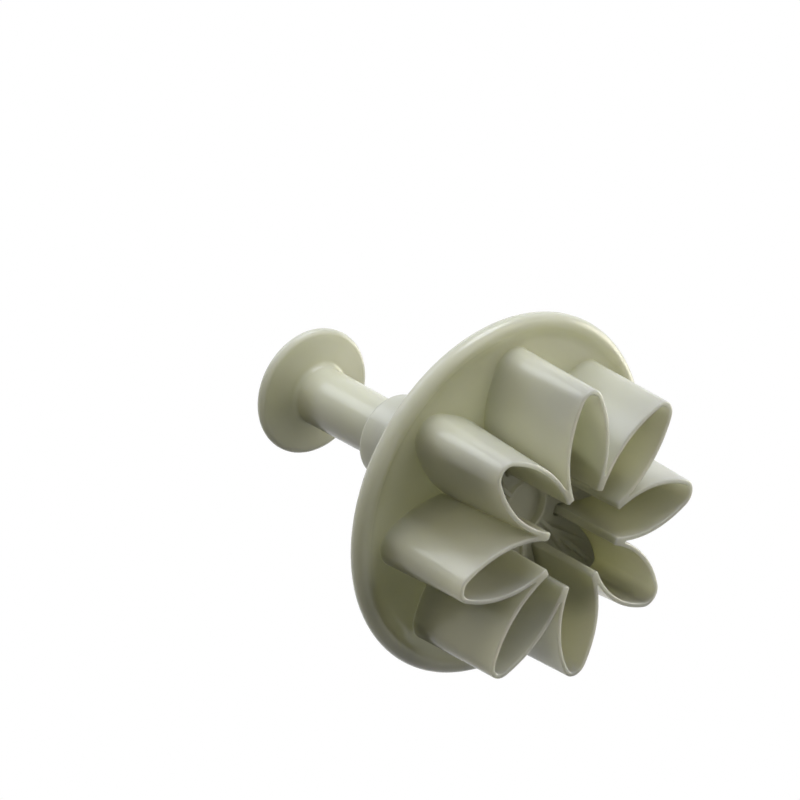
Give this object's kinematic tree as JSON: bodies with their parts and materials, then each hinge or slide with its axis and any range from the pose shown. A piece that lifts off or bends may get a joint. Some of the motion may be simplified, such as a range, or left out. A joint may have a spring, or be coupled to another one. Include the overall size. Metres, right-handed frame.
{
  "type": "plunger cutter",
  "caption": "Daisy-shaped plunger cutter: a flower cutting wall under a round flange, with a spring-returned plunger that embosses and ejects the cut shape.",
  "frame": {"origin": "centre of the flower, in the plane of the cutting edge", "axes": "+Z along the plunger's axis, from the cutting edge up to the thumb disc; +X through the tip of a petal"},
  "size_m": [0.0548, 0.0548, 0.0622],
  "materials": {
    "ivory_plastic": "smooth moulded, satin gloss",
    "spring_steel": "bright drawn wire"
  },
  "bodies": {
    "cutter": {"cutter_body": "ivory_plastic", "return_spring": "spring_steel"},
    "plunger_unit": {"plunger": "ivory_plastic", "embossing_plate": "ivory_plastic"}
  },
  "joints": [
    {"name": "plunger_slide", "type": "slide", "parent": "cutter", "child": "plunger_unit", "axis": [0, 0, -1], "range_m": [0, 0.012], "stiffness_N_per_m": 830, "springref_m": -0.0032, "deforming": ["return_spring"]}
  ]
}
